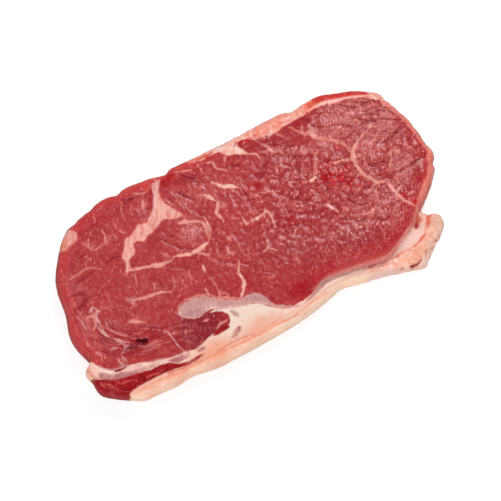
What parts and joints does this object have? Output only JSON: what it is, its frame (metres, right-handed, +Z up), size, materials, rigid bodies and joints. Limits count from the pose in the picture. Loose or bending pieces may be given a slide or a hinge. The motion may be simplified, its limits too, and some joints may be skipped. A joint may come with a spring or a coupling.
{
  "type": "raw sirloin steak",
  "caption": "Raw boneless sirloin steak: a thick slab of red marbled beef with a long cap of creamy fat along its edge and a thin flap of fat under its end.",
  "frame": {"origin": "centre of the bounding box in plan, on the underside that rests on the plate or board", "axes": "+X along the steak's length towards the end with the fat flap, +Y across it away from the fat cap, +Z up out of the cut face"},
  "size_m": [0.2048, 0.1052, 0.0225],
  "materials": {
    "steak": "wet, softly glossy raw beef: deep red lean with fine marbling, cream fat cap, grey-mauve silverskin"
  },
  "bodies": {
    "root": {"steak": "steak"}
  },
  "joints": []
}
